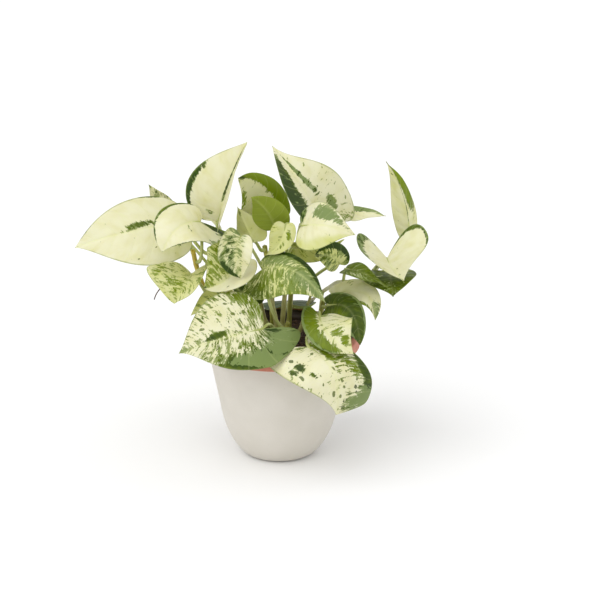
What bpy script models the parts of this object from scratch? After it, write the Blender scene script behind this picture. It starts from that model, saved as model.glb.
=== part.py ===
# Potted pothos plant: a variegated heart-leaved climber in a nursery pot, standing in a smooth cover pot.
# The origin is on the table, under the centre of the cover pot. +Z is up and -Y is the front.
import bpy
import numpy as np

MM = 0.001

# Cover pot: an egg-shaped pot with a flat base and a plain rim.
COVER_RIM_R = 62.0
COVER_HEIGHT = 100.0
COVER_WALL = 4.0
COVER_FLOOR = 5.0
COVER_BASE_R = 28.0

# Nursery pot: thin, with a wide turned-down lip that rests on the rim of the cover pot.
GROW_LIP_R = 69.0
GROW_LIP_TOP = 108.0
GROW_LIP_BOTTOM = 97.0
GROW_WALL = 1.8
GROW_NECK_R = 56.5
GROW_FOOT_R = 40.0
GROW_FOOT_Z = 26.0
DRAIN_R = 3.5
DRAIN_RING_R = 26.0

SOIL_TOP = 103.0
SOIL_BOTTOM = 30.0
GAP = 0.3
VINE_R = 2.6
VINE_DEPTH = 9.0
BLADE_THICK = 1.0
STALK_R = 1.5

SIDES = 40

# Vines: where each leaves the soil (x, y), a bending point and the growing end, in millimetres.
VINES = {
    "vine_left": ((-28, -4), (-64, -8, 130), (-72, -4, 182)),
    "vine_left_back": ((-22, 20), (-48, 26, 140), (-60, 24, 176)),
    "vine_middle": ((-6, 4), (-4, 2, 140), (-12, 2, 184)),
    "vine_middle_back": ((8, 24), (10, 28, 140), (14, 26, 178)),
    "vine_right": ((30, 2), (54, 14, 125), (88, 34, 160)),
    "vine_front": ((4, -24), (2, -27, 112), (8, -28, 126)),
    "vine_front_right": ((26, -16), (34, -14, 120), (38, -8, 140)),
}

# Leaves, in millimetres and degrees. base, mid and tip are on the midrib; base is where the stalk
# joins. face is the way the upper side looks. wide, lobes, fold, curl and point are (left, right)
# as seen from the base looking to the tip: half widths, ear lengths as a share of the blade length,
# the lift of each half at the midrib, its bend out to the margin, and how drawn-out its tip is.
# even keeps the side veins parallel where the midrib bends hard; close turns an ear toward the stalk.
# grows is (vine, share of the vine's length), and via is the stalk's bending point.
LEAVES = [
    dict(name="leaf_front_left", base=(-12, -70, 135), mid=(-46, -84, 131), tip=(-80, -88, 120),
         face=(-.1, -.85, .52), wide=(32, 38), close=(.4, 0), lobes=(.5, .1), fold=(-5, 5), curl=(-5, -15),
         point=(.7, .4), grows=("vine_front", .35), via=(-4, -52, 142)),
    dict(name="leaf_front_right", base=(24, -68, 119), mid=(46, -88, 102), tip=(47, -86, 66),
         face=(-.1, -.85, .5), wide=(35, 36), even=.7, lobes=(.15, .25), fold=(-15, 10), curl=(-38, -12),
         point=(-.4, .8), grows=("vine_front_right", .1), via=(22, -50, 126)),
    dict(name="leaf_front_small", base=(34, -52, 140), mid=(42, -72, 130), tip=(61, -80, 117),
         face=(.1, -.8, .55), wide=(25, 16), lobes=(.1, .35), fold=(0, 5), curl=(0, -20),
         point=(.35, .4), grows=("vine_front_right", .55), via=(34, -36, 144)),
    dict(name="leaf_right_low", base=(41, -22, 139), mid=(60, -34, 138), tip=(68, -40, 110),
         face=(.3, -.7, .6), wide=(17, 24), lobes=(.15, .2), fold=(0, 5), curl=(-40, -20),
         point=(.3, .4), grows=("vine_front_right", .85), via=(42, -16, 140)),
    dict(name="leaf_middle", base=(-13, -40, 177), mid=(15, -57, 179), tip=(39, -62, 154),
         face=(.1, -.75, .65), wide=(16, 27), lobes=(.1, .35), fold=(5, 0), curl=(-30, -35),
         point=(.65, .65), grows=("vine_front", .8), via=(-10, -30, 145)),
    dict(name="leaf_left_cup", base=(-30, -36, 183), mid=(-41, -48, 171), tip=(-61, -47, 162),
         face=(-.1, -.4, .9), wide=(18, 32), lobes=(.1, .1), fold=(0, 62), curl=(10, 0),
         point=(.4, .3), grows=("vine_middle", .45), via=(-26, -32, 168)),
    dict(name="leaf_hanging", base=(-30, -46, 207), mid=(-34, -54, 191), tip=(-30, -54, 173),
         face=(.25, -.93, .2), wide=(14, 19), lobes=(.1, .08), fold=(30, 15), curl=(10, 20),
         point=(.2, .4), grows=("vine_middle", .7), via=(-22, -26, 195)),
    dict(name="leaf_left_small", base=(-72, -28, 169), mid=(-78, -42, 162), tip=(-86, -44, 148),
         face=(-.1, -.9, .4), wide=(15, 35), lobes=(.35, .3), fold=(35, 5), curl=(0, -10),
         point=(.5, .0), grows=("vine_left", .62), via=(-68, -16, 162)),
    dict(name="leaf_left_front", base=(-64, -18, 211), mid=(-82, -38, 211), tip=(-94, -46, 193),
         face=(-.1, -.85, .5), wide=(26, 22), lobes=(.7, .1), fold=(5, 5), curl=(20, -20),
         point=(.6, .15), grows=("vine_left", .9), via=(-64, -10, 196)),
    dict(name="leaf_left_large", base=(-83, 0, 204), mid=(-128, -8, 199), tip=(-170, -14, 187),
         face=(-.05, -.85, .5), wide=(33, 27), lobes=(.15, .08), fold=(3, 3), curl=(-10, 0),
         point=(.6, .4), grows=("vine_left", .97), via=(-76, 2, 196)),
    dict(name="leaf_top_left", base=(-50, -8, 209), mid=(-40, -14, 244), tip=(-26, -4, 275),
         face=(-.2, -.95, .2), wide=(34, 20), lobes=(.1, .1), fold=(10, 70), curl=(-20, 0),
         point=(.5, .65), grows=("vine_left", .8), via=(-54, 2, 190)),
    dict(name="leaf_top_right", base=(33, 0, 213), mid=(16, -10, 244), tip=(-5, 4, 270),
         face=(.2, -.9, .35), wide=(26, 36), lobes=(.05, .5), fold=(42, 0), curl=(0, -15),
         point=(.5, 1.0), grows=("vine_middle_back", .9), via=(30, 12, 198)),
    dict(name="leaf_top_arched", base=(2, 12, 209), mid=(-14, 8, 234), tip=(-34, 6, 242),
         face=(0, -.8, .6), wide=(33, 14), lobes=(.08, .1), fold=(-8, 10), curl=(0, -50),
         point=(.1, .5), grows=("vine_middle_back", .7), via=(6, 12, 190)),
    dict(name="leaf_turned", base=(-2, -22, 207), mid=(-10, -25, 223), tip=(-22, -26, 234),
         face=(.2, .8, .5), wide=(16, 16), lobes=(.1, .1), fold=(5, -4), curl=(10, -6),
         point=(.35, .35), grows=("vine_middle", .9), via=(-2, -8, 198)),
    dict(name="leaf_inner_pale", base=(-20, -12, 192), mid=(-27, -12, 206), tip=(-34, -8, 221),
         face=(.3, .8, .4), wide=(15, 15), lobes=(.1, .1), fold=(5, 5), curl=(10, 10),
         point=(.65, .65), grows=("vine_middle", .97), via=(-17, -4, 188)),
    dict(name="leaf_inner_front", base=(6, -34, 213), mid=(1, -38, 198), tip=(-10, -38, 188),
         face=(.1, -.9, .3), wide=(10, 12), lobes=(.1, .1), fold=(15, 15), curl=(0, 0),
         point=(.65, .65), grows=("vine_middle", .8), via=(16, -22, 216)),
    dict(name="leaf_right_upper", base=(19, -42, 214), mid=(39, -56, 218), tip=(63, -56, 210),
         face=(.1, -.7, .7), wide=(20, 22), lobes=(.15, .1), fold=(15, -10), curl=(0, -20),
         point=(.65, .65), grows=("vine_middle_back", .8), via=(18, 0, 212)),
    dict(name="leaf_right_under", base=(11, -2, 184), mid=(33, -10, 185), tip=(55, -10, 193),
         face=(0, -.8, -.5), wide=(14, 14), lobes=(.1, .1), fold=(15, 15), curl=(0, 0),
         point=(.65, .65), grows=("vine_middle", .6), via=(4, -4, 174)),
    dict(name="leaf_right_round", base=(51, -16, 173), mid=(43, -24, 183), tip=(30, -22, 182),
         face=(.1, -.9, .4), wide=(12, 13), lobes=(.1, .2), fold=(5, 5), curl=(0, 0),
         point=(.25, .25), grows=("vine_middle_back", .45), via=(42, 8, 170)),
    dict(name="leaf_right_edge", base=(56, -8, 167), mid=(70, -16, 166), tip=(92, -16, 153),
         face=(0, -.4, .9), wide=(10, 10), lobes=(.1, .1), fold=(5, 5), curl=(0, 0),
         point=(.65, .65), grows=("vine_right", .5), via=(56, 12, 160)),
    dict(name="leaf_right_pale", base=(46, 0, 142), mid=(73, -12, 146), tip=(81, -20, 125),
         face=(.2, -.6, .75), wide=(12, 14), lobes=(.1, .1), fold=(5, -5), curl=(0, -30),
         point=(.3, .6), grows=("vine_front_right", .97), via=(42, -3, 143)),
    dict(name="leaf_right_heart", base=(92, 14, 170), mid=(97, -6, 164), tip=(104, -30, 164),
         face=(0, -.45, .9), wide=(40, 30), lobes=(.6, .6), fold=(28, 32), curl=(0, 5),
         point=(1.1, 1.1), grows=("vine_right", .92), via=(88, 24, 164)),
    dict(name="leaf_right_dark", base=(95, 20, 156), mid=(95, -4, 155), tip=(96, -20, 146),
         face=(0, -.25, .95), wide=(22, 28), lobes=(.1, .1), fold=(6, 3), curl=(0, 0),
         point=(.65, .65), grows=("vine_right", .85), via=(88, 20, 158)),
    dict(name="leaf_right_upright", base=(112, 40, 182), mid=(106, 36, 219), tip=(91, 36, 249),
         face=(-.4, -.9, .1), wide=(13, 12), lobes=(.1, .1), fold=(5, -72), curl=(0, 0),
         point=(.65, .65), grows=("vine_right", .97), via=(104, 38, 168)),
    dict(name="leaf_right_thin", base=(57, 40, 201), mid=(73, 42, 202), tip=(92, 40, 200),
         face=(0, -.5, .9), wide=(9, 9), lobes=(.1, .1), fold=(0, 0), curl=(0, 0),
         point=(.65, .65), grows=("vine_middle_back", .85), via=(38, 34, 188)),
    dict(name="leaf_left_low", base=(-45, -30, 147), mid=(-58, -38, 147), tip=(-73, -40, 136),
         face=(-.1, -.8, .6), wide=(11, 11), lobes=(.12, .12), fold=(5, 5), curl=(0, 0),
         point=(.65, .65), grows=("vine_left", .25), via=(-42, -22, 142)),
    dict(name="leaf_inner_dark", base=(-20, -20, 139), mid=(-28, -22, 149), tip=(-40, -20, 155),
         face=(0, -.9, .4), wide=(11, 11), lobes=(.12, .12), fold=(5, 5), curl=(0, 0),
         point=(.65, .65), grows=("vine_middle", .12), via=(-12, -6, 128)),
    dict(name="leaf_left_tip", base=(-92, 24, 207), mid=(-102, 22, 220), tip=(-110, 20, 233),
         face=(-.1, -.95, .3), wide=(8, 8), lobes=(.12, .12), fold=(5, 5), curl=(0, 0),
         point=(.65, .65), grows=("vine_left_back", .95), via=(-78, 18, 194)),
    dict(name="leaf_back_low_left", base=(-28, 44, 130), mid=(-46, 60, 128), tip=(-60, 74, 108),
         face=(-.4, .75, .55), wide=(26, 26), lobes=(.25, .25), fold=(5, 5), curl=(-15, -15),
         point=(.65, .65), grows=("vine_left_back", .25), via=(-28, 34, 130)),
    dict(name="leaf_back_low_right", base=(38, 34, 134), mid=(58, 52, 132), tip=(74, 66, 112),
         face=(.4, .75, .55), wide=(26, 26), lobes=(.25, .25), fold=(5, 5), curl=(-15, -15),
         point=(.65, .65), grows=("vine_right", .18), via=(36, 22, 130)),
    dict(name="leaf_back_drape", base=(8, 58, 115), mid=(9, 82, 106), tip=(8, 89, 78),
         face=(0, .85, .5), wide=(24, 24), lobes=(.25, .25), fold=(5, 5), curl=(-20, -20),
         point=(.65, .65), grows=("vine_middle_back", .12), via=(7, 42, 124)),
    dict(name="leaf_back_middle", base=(24, 44, 172), mid=(32, 66, 168), tip=(34, 84, 148),
         face=(.2, .75, .6), wide=(24, 24), lobes=(.25, .25), fold=(5, 5), curl=(-15, -15),
         point=(.65, .65), grows=("vine_middle_back", .5), via=(18, 36, 160)),
    dict(name="leaf_back_upper_left", base=(-54, 32, 200), mid=(-66, 44, 210), tip=(-80, 50, 214),
         face=(-.3, .7, .65), wide=(24, 24), lobes=(.2, .2), fold=(5, 5), curl=(-15, -15),
         point=(.65, .65), grows=("vine_left_back", .8), via=(-50, 28, 184)),
    dict(name="leaf_back_upper_right", base=(30, 34, 200), mid=(44, 50, 212), tip=(62, 58, 214),
         face=(.3, .7, .65), wide=(24, 24), lobes=(.2, .2), fold=(5, 5), curl=(-15, -15),
         point=(.65, .65), grows=("vine_middle_back", .97), via=(22, 30, 190)),
    dict(name="leaf_back_left", base=(-88, 42, 184), mid=(-108, 50, 184), tip=(-130, 56, 172),
         face=(-.3, .8, .5), wide=(24, 24), lobes=(.2, .2), fold=(5, 5), curl=(-15, -15),
         point=(.65, .65), grows=("vine_left_back", .6), via=(-72, 38, 174)),
]

# Aerial roots: thin, from a vine, hanging free. (vine, share of its length), bending point, end.
ROOTS = {
    "root_left": (("vine_left", .75), (-98, -20, 166), (-104, -24, 145)),
    "root_left_low": (("vine_left", .45), (-58, -18, 140), (-64, -20, 132)),
}


def unit(v):
    v = np.asarray(v, float)
    return v / np.maximum(np.linalg.norm(v, axis=-1, keepdims=True), 1e-9)


def clear_scene():
    for obj in list(bpy.data.objects):
        bpy.data.objects.remove(obj, do_unlink=True)


def material(name, colour, roughness=.5):
    made = bpy.data.materials.new(name)
    made.use_nodes = True
    shader = made.node_tree.nodes["Principled BSDF"]
    shader.inputs["Base Color"].default_value = (*colour, 1)
    shader.inputs["Roughness"].default_value = roughness
    made.diffuse_color = (*colour, 1)
    return made


def mesh_object(name, points, faces, colour=None, roughness=.5, smooth=True):
    mesh = bpy.data.meshes.new(name)
    mesh.from_pydata((np.asarray(points) * MM).tolist(), [], faces)
    mesh.update()
    obj = bpy.data.objects.new(name, mesh)
    bpy.context.scene.collection.objects.link(obj)
    if colour:
        mesh.materials.append(material(name, colour, roughness))
    if smooth:
        mesh.polygons.foreach_set("use_smooth", [True] * len(mesh.polygons))
        mesh.set_sharp_from_angle(angle=np.radians(40))
    return obj


def combine(obj, others, operation):
    """Joins or cuts obj with the others, and keeps only the result."""
    for other in others:
        change = obj.modifiers.new("change", "BOOLEAN")
        change.operation = operation
        change.solver = "EXACT"
        change.object = other
        change.use_self = True
    bpy.context.view_layer.update()
    graph = bpy.context.evaluated_depsgraph_get()
    result = bpy.data.meshes.new_from_object(obj.evaluated_get(graph))
    obj.modifiers.clear()
    obj.data = result
    for other in others:
        bpy.data.objects.remove(other, do_unlink=True)


def turned(name, profile, colour=None, roughness=.5, sides=SIDES):
    """A solid of revolution. profile is (radius, height) up the outside, and down the inside if any."""
    ring = np.linspace(0, 2 * np.pi, sides, endpoint=False)
    points, rows = [], []
    for radius, height in profile:
        if radius < 1e-6:
            rows.append([len(points)])
            points.append((0, 0, height))
        else:
            rows.append(list(range(len(points), len(points) + sides)))
            points.extend((radius * np.cos(a), radius * np.sin(a), height) for a in ring)
    faces = []
    for low, high in zip(rows, rows[1:]):
        for i in range(sides):
            k = (i + 1) % sides
            corners = [low[i % len(low)], low[k % len(low)], high[k % len(high)], high[i % len(high)]]
            faces.append(list(dict.fromkeys(corners)))
    return mesh_object(name, points, faces, colour, roughness)


def bezier(controls, count):
    t = np.linspace(0, 1, count)[:, None]
    if len(controls) == 3:
        a, b, c = [np.asarray(q, float) for q in controls]
        return (1 - t) ** 2 * a + 2 * t * (1 - t) * b + t * t * c
    a, b, c, d = [np.asarray(q, float) for q in controls]
    return (1 - t) ** 3 * a + 3 * t * (1 - t) ** 2 * b + 3 * t * t * (1 - t) * c + t ** 3 * d


def tube(name, path, radii, sides=8, colour=None, roughness=.5):
    """A closed round tube with flat ends along the path."""
    path = np.asarray(path, float)
    radii = np.broadcast_to(radii, len(path))
    ahead = unit(np.gradient(path, axis=0))
    across = unit(np.cross(ahead[0], (.3, .9, .2)))
    points = []
    for centre, way, radius in zip(path, ahead, radii):
        across = unit(across - way * (across @ way))
        up = np.cross(way, across)
        for a in np.linspace(0, 2 * np.pi, sides, endpoint=False):
            points.append(centre + radius * (np.cos(a) * across + np.sin(a) * up))
    faces = [list(range(sides))[::-1], list(range(len(points) - sides, len(points)))]
    for j in range(len(path) - 1):
        for i in range(sides):
            k = (i + 1) % sides
            faces.append([j * sides + i, j * sides + k, (j + 1) * sides + k, (j + 1) * sides + i])
    return mesh_object(name, points, faces, colour, roughness)


def half_outline(steps, across, width, ear, point):
    """One flat half of a heart-shaped blade, as (share of the length, distance from the midrib).
    Its rows follow the side veins, which leave the midrib and sweep round to the margin."""
    turn = np.pi * np.linspace(0, 1, steps + 1)[:, None]
    out = np.linspace(0, 1, across + 1)[None, :]
    cosine, sine = np.cos(turn / 2), np.sin(turn)
    fine = np.linspace(0, np.pi, 400)
    widest = (np.sin(fine) * np.cos(fine / 2).clip(1e-9) ** (2 * point)).max()
    edge_x = (1 - np.cos(turn)) / 2 - ear * sine * np.abs(cosine) ** 9 * 2.67
    edge_y = sine * np.abs(cosine).clip(1e-9) ** (2 * point) / widest
    rib_x = ((1 - np.cos(turn)) / 2) ** 1.8
    bend_x = rib_x + .30 * (edge_x - rib_x)
    x = (1 - out) ** 2 * rib_x + 2 * out * (1 - out) * bend_x + out ** 2 * edge_x
    y = 2 * out * (1 - out) * .58 * edge_y + out ** 2 * edge_y
    return x, y * width


def midrib(leaf, x):
    """Points on the midrib and its direction, at shares x of the length."""
    base, mid, tip = [np.asarray(leaf[k], float) for k in ("base", "mid", "tip")]
    x = np.asarray(x, float)[..., None]
    t = x.clip(0, 1.2)
    slope = base * (4 * t - 3) + mid * (4 - 8 * t) + tip * (4 * t - 1)
    points = base * (1 - t) * (1 - 2 * t) + mid * 4 * t * (1 - t) + tip * t * (2 * t - 1)
    return points + np.minimum(x, 0) * slope, unit(slope)


def half_blade(leaf, side, steps, across):
    """The upper surface of one half of the blade, as a grid of points."""
    width, ear, point = leaf["wide"][side], leaf["lobes"][side], leaf["point"][side]
    x, y = half_outline(steps, across, width, ear, point)
    spine, ahead = midrib(leaf, x)
    face = unit(leaf["face"])
    chord = unit(np.subtract(leaf["tip"], leaf["base"]))
    ahead = unit(ahead * (1 - leaf.get("even", 0)) + chord * leaf.get("even", 0))
    up = unit(face - (ahead @ face)[..., None] * ahead)
    right = np.cross(ahead, up) * (1 if side else -1)
    fold, curl = np.radians(leaf["fold"][side]), np.radians(leaf["curl"][side])
    curl = curl if abs(curl) > .001 else .001
    lean = fold + curl * y / width
    sideways = width * (np.sin(lean) - np.sin(fold)) / curl
    size = np.linalg.norm(np.subtract(leaf["tip"], leaf["base"]))
    sideways = sideways + leaf.get("close", (0, 0))[side] * np.minimum(x, 0) * size
    rise = width * (np.cos(fold) - np.cos(lean)) / curl
    return spine + right * sideways[..., None] + up * rise[..., None]


def blade_mesh(leaf, steps, across):
    """The closed blade: its upper surface, the same moved down by its thickness, and the margin."""
    left, right = half_blade(leaf, 0, steps, across), half_blade(leaf, 1, steps, across)
    grid = np.concatenate([left[:, :0:-1], right], axis=1)
    grid[0], grid[-1] = leaf["base"], leaf["tip"]
    along = np.gradient(grid, axis=0)
    out = np.gradient(grid, axis=1)
    normal = np.cross(along, out)
    middle = grid.shape[1] // 2
    normal[0], normal[-1] = normal[1, middle], normal[-2, middle]
    normal = unit(normal)
    points, index = [], []
    for layer in (grid, grid + normal * BLADE_THICK):
        start = len(points)
        points.append(layer[0, 0])
        points.extend(layer[1:-1].reshape(-1, 3))
        points.append(layer[-1, 0])
        rows, columns = grid.shape[:2]
        numbers = start + 1 + (np.arange(rows)[:, None] - 1) * columns + np.arange(columns)[None, :]
        numbers[0], numbers[-1] = start, len(points) - 1
        index.append(numbers)
    faces = []

    def face(*corners):
        corners = list(dict.fromkeys(int(c) for c in corners))
        if len(corners) > 2:
            faces.append(corners)

    top, low = index
    for i in range(rows - 1):
        for j in range(columns - 1):
            face(top[i, j], top[i, j + 1], top[i + 1, j + 1], top[i + 1, j])
            face(low[i, j], low[i + 1, j], low[i + 1, j + 1], low[i, j + 1])
        face(top[i, 0], top[i + 1, 0], low[i + 1, 0], low[i, 0])
        face(top[i, -1], low[i, -1], low[i + 1, -1], top[i + 1, -1])
    return np.array(points), faces


def vine_path(name, count=11):
    foot, bend, end = VINES[name]
    return bezier([(*foot, SOIL_TOP + 2), bend, end], count)


def stalk_path(leaf):
    """The leaf stalk: it leaves the vine square on, 0.3 mm clear of it, and runs to the blade."""
    name, share = leaf["grows"]
    path = vine_path(name, 101)
    where = path[int(round(share * 100))]
    ahead = unit(np.gradient(path, axis=0))[int(round(share * 100))]
    toward = np.asarray(leaf["via"], float) - where
    out = unit(toward - ahead * (toward @ ahead))
    start = where + out * (VINE_R + GAP + .15)
    base = np.asarray(leaf["base"], float)
    arc = bezier([start, start + out * 5, leaf["via"], base], 7)
    return np.vstack([[start], [start + out * 1.2], arc[1:]])


def build_leaf(leaf):
    size = np.linalg.norm(np.subtract(leaf["tip"], leaf["base"]))
    steps, across = (7, 3) if size > 32 else (6, 2)
    points, faces = blade_mesh(leaf, steps, across)
    colour = (.62, .66, .36)
    obj = mesh_object(leaf["name"], points, faces, colour, .38)
    stalk = stalk_path(leaf)
    rib, ahead = midrib(leaf, np.linspace(0, .55, 5))
    face = unit(leaf["face"])
    rib = rib - unit(face - (ahead @ face)[:, None] * ahead) * BLADE_THICK * .7
    path = np.vstack([stalk[:-1], rib])
    radii = np.concatenate([np.linspace(STALK_R, STALK_R * .9, len(stalk)), np.linspace(1.2, .8, 4)])
    stem = tube(leaf["name"] + "_stalk", path, radii, 6)
    combine(obj, [stem], "UNION")
    return obj


def build_cover_pot():
    low = bezier([(COVER_BASE_R + 1, 0), (42, 9), (49, 30), (51, 45)], 8)
    outside = [(0, 0), (COVER_BASE_R - 2, 0), *low, (COVER_RIM_R - 3.6, 81),
               (COVER_RIM_R - .2, COVER_HEIGHT - 1.2), (COVER_RIM_R - 1.0, COVER_HEIGHT)]
    inside = [(COVER_RIM_R - COVER_WALL + .8, COVER_HEIGHT), (COVER_RIM_R - COVER_WALL, COVER_HEIGHT - 1)]
    inside += [(COVER_RIM_R - COVER_WALL - 3.4, 81)]
    inside += [(r - COVER_WALL, z) for r, z in low[::-1] if z > COVER_FLOOR + 4]
    inside += [(COVER_BASE_R, COVER_FLOOR + 1.5), (COVER_BASE_R - 3, COVER_FLOOR), (0, COVER_FLOOR)]
    turned("cover_pot", outside + inside, (.72, .69, .64), .6)


def build_grow_pot():
    wall = GROW_WALL
    outside = [(0, GROW_FOOT_Z), (GROW_FOOT_R, GROW_FOOT_Z), (GROW_NECK_R, COVER_HEIGHT - 4),
               (GROW_NECK_R, COVER_HEIGHT + .6), (GROW_LIP_R - wall - .6, COVER_HEIGHT + 3),
               (GROW_LIP_R - wall, GROW_LIP_BOTTOM), (GROW_LIP_R, GROW_LIP_BOTTOM),
               (GROW_LIP_R - .3, GROW_LIP_TOP - 3), (GROW_LIP_R - 1.6, GROW_LIP_TOP - .8),
               (GROW_LIP_R - 4, GROW_LIP_TOP), (GROW_NECK_R + 4, GROW_LIP_TOP),
               (GROW_NECK_R + 1, GROW_LIP_TOP - 1.4), (GROW_NECK_R - wall, COVER_HEIGHT + 2)]
    inside = [(GROW_NECK_R - wall, COVER_HEIGHT - 4), (GROW_FOOT_R - wall, GROW_FOOT_Z + wall),
              (0, GROW_FOOT_Z + wall)]
    pot = turned("grow_pot", outside + inside, (.6, .22, .14), .6)
    holes = []
    for a in np.radians([45, 135, 225, 315]):
        x, y = DRAIN_RING_R * np.cos(a), DRAIN_RING_R * np.sin(a)
        path = [(x, y, GROW_FOOT_Z - 2), (x, y, GROW_FOOT_Z + wall + 2)]
        holes.append(tube("drain", path, DRAIN_R, 12))
    combine(pot, holes, "DIFFERENCE")


def build_soil():
    top_r = GROW_NECK_R - GROW_WALL - GAP
    slope = (GROW_NECK_R - GROW_FOOT_R) / (COVER_HEIGHT - 4 - GROW_FOOT_Z)
    low_r = top_r - slope * (COVER_HEIGHT - 4 - SOIL_BOTTOM) - GAP
    soil = turned("soil", [(0, SOIL_BOTTOM), (low_r, SOIL_BOTTOM), (top_r - GAP, COVER_HEIGHT - 4),
                           (top_r - GAP, SOIL_TOP - 2), (top_r - 3, SOIL_TOP - .4), (0, SOIL_TOP)],
                  (.03, .022, .016), .95)
    pits = []
    for foot, bend, _ in VINES.values():
        path = [(*foot, SOIL_TOP - VINE_DEPTH - GAP), (*foot, SOIL_TOP + 3)]
        pits.append(tube("pit", path, VINE_R + GAP + .25, 12))
    combine(soil, pits, "DIFFERENCE")


def build_vines():
    for name, (foot, bend, end) in VINES.items():
        path = vine_path(name)
        path = np.vstack([[(*foot, SOIL_TOP - VINE_DEPTH)], [(*foot, SOIL_TOP - .2)], path[1:]])
        tube(name, path, np.linspace(VINE_R, VINE_R * .85, len(path)), 8, (.38, .40, .16), .5)


def build_roots():
    for name, ((vine, share), bend, end) in ROOTS.items():
        path = vine_path(vine, 101)
        where, ahead = path[int(share * 100)], unit(np.gradient(path, axis=0))[int(share * 100)]
        toward = np.asarray(bend, float) - where
        out = unit(toward - ahead * (toward @ ahead))
        start = where + out * (VINE_R + GAP)
        arc = bezier([start, start + out * 4, bend, end], 8)
        tube(name, arc, np.linspace(.8, .5, 8), 6, (.09, .05, .03), .7)


clear_scene()
build_cover_pot()
build_grow_pot()
build_soil()
build_vines()
for leaf in LEAVES:
    build_leaf(leaf)
build_roots()
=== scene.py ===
import bpy
import math
import numpy as np
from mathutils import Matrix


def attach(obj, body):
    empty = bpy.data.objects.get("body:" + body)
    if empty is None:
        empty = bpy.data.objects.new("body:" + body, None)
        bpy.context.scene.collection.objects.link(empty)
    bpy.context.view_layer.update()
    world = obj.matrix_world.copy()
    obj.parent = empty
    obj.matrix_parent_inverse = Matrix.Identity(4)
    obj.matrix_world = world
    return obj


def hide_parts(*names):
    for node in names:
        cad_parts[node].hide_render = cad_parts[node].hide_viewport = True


# A potted pothos with cream and green leaves. Shapes are in millimetres until addPiece puts them in metres.

toMetres, toCentimetres = .001, .1
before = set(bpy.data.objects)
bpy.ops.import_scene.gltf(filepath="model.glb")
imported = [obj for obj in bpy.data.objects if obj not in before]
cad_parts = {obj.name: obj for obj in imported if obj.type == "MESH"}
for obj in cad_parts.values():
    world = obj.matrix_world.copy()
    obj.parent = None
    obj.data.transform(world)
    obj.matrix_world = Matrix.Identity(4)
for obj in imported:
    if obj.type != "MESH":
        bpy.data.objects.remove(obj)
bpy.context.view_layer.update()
print("frame loaded:", len(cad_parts), "nodes")


def unit(vectors):
    return vectors / np.maximum(np.linalg.norm(vectors, axis=-1, keepdims=True), 1e-9)


# A Bezier curve: the sum of its control points, each weighted by its Bernstein polynomial of t.
def bezier(controls, count):
    points = np.asarray(controls, float)
    order = len(points) - 1
    t = np.linspace(0, 1, count)[:, None]
    weights = [math.comb(order, i) * t ** i * (1 - t) ** (order - i) for i in range(order + 1)]
    return sum(w * p for w, p in zip(weights, points))


# A closed skin over a grid: rows run from one pole to the other, columns run round and meet.
def skin(grid, uv=None, share=None, **values):
    rows, cols = grid.shape[:2]
    points = np.vstack([grid[0, :1], grid[1:-1].reshape(-1, 3), grid[-1, :1]])
    number = 1 + (np.arange(rows)[:, None] - 1) * cols + np.arange(cols)[None, :]
    number[0], number[-1] = 0, len(points) - 1
    number = np.hstack([number, number[:, :1]])
    spot = np.arange(rows * (cols + 1)).reshape(rows, cols + 1)

    def corners(table):
        quads = np.stack([table[1:-2, :-1], table[1:-2, 1:], table[2:-1, 1:], table[2:-1, :-1]], -1)
        first = np.stack([table[0, :-1], table[1, 1:], table[1, :-1]], -1)
        last = np.stack([table[-2, :-1], table[-2, 1:], table[-1, 1:]], -1)
        return quads.reshape(-1, 4), np.vstack([first, last])

    quads, fans = corners(number)
    quadSpots, fanSpots = corners(spot)
    loops = np.concatenate([quadSpots.ravel(), fanSpots.ravel()])
    flat = {}
    for key, table in (("uv", uv), ("share", share)):
        table = np.zeros((rows, cols + 1, 2)) if table is None else table
        if table.shape[1] == cols:
            table = np.concatenate([table, table[:, :1]], axis=1)
        flat[key] = table.reshape(-1, 2)[loops]
    perPoint = {}
    for key, table in values.items():
        table = np.broadcast_to(np.asarray(table, float), (rows, cols))
        perPoint[key] = np.concatenate([table[0, :1], table[1:-1].ravel(), table[-1, :1]])
    return {"points": points, "quads": quads, "fans": fans, "values": perPoint, **flat}


def link(obj):
    bpy.context.scene.collection.objects.link(obj)
    return obj


# Puts one or more skins into one mesh, each with its own material, in metres and at the origin.
def addPiece(name, skins, materials, replaced=()):
    points = np.vstack([s["points"] for s in skins]) * toMetres
    starts = np.cumsum([0] + [len(s["points"]) for s in skins[:-1]])
    faces, materialOf, uv, share = [], [], [], []
    for index, (piece, start) in enumerate(zip(skins, starts)):
        faces += (piece["quads"] + start).tolist() + (piece["fans"] + start).tolist()
        materialOf += [min(index, len(materials) - 1)] * (len(piece["quads"]) + len(piece["fans"]))
        uv.append(piece["uv"])
        share.append(piece["share"])
    mesh = bpy.data.meshes.new(name)
    mesh.from_pydata(points.tolist(), [], faces)
    for layer, table in (("flow", uv), ("share", share)):
        made = mesh.uv_layers.new(name=layer)
        made.data.foreach_set("uv", np.vstack(table).astype(np.float32).ravel())
    for key in sorted({k for s in skins for k in s["values"]}):
        made = mesh.attributes.new(key, "FLOAT", "POINT")
        column = [s["values"].get(key, np.zeros(len(s["points"]))) for s in skins]
        made.data.foreach_set("value", np.concatenate(column).astype(np.float32))
    for material in materials:
        mesh.materials.append(material)
    mesh.polygons.foreach_set("material_index", materialOf)
    mesh.polygons.foreach_set("use_smooth", [True] * len(mesh.polygons))
    mesh.update()
    obj = link(bpy.data.objects.new(name, mesh))
    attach(obj, "root")
    if replaced:
        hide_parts(*replaced)
    return obj


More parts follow.
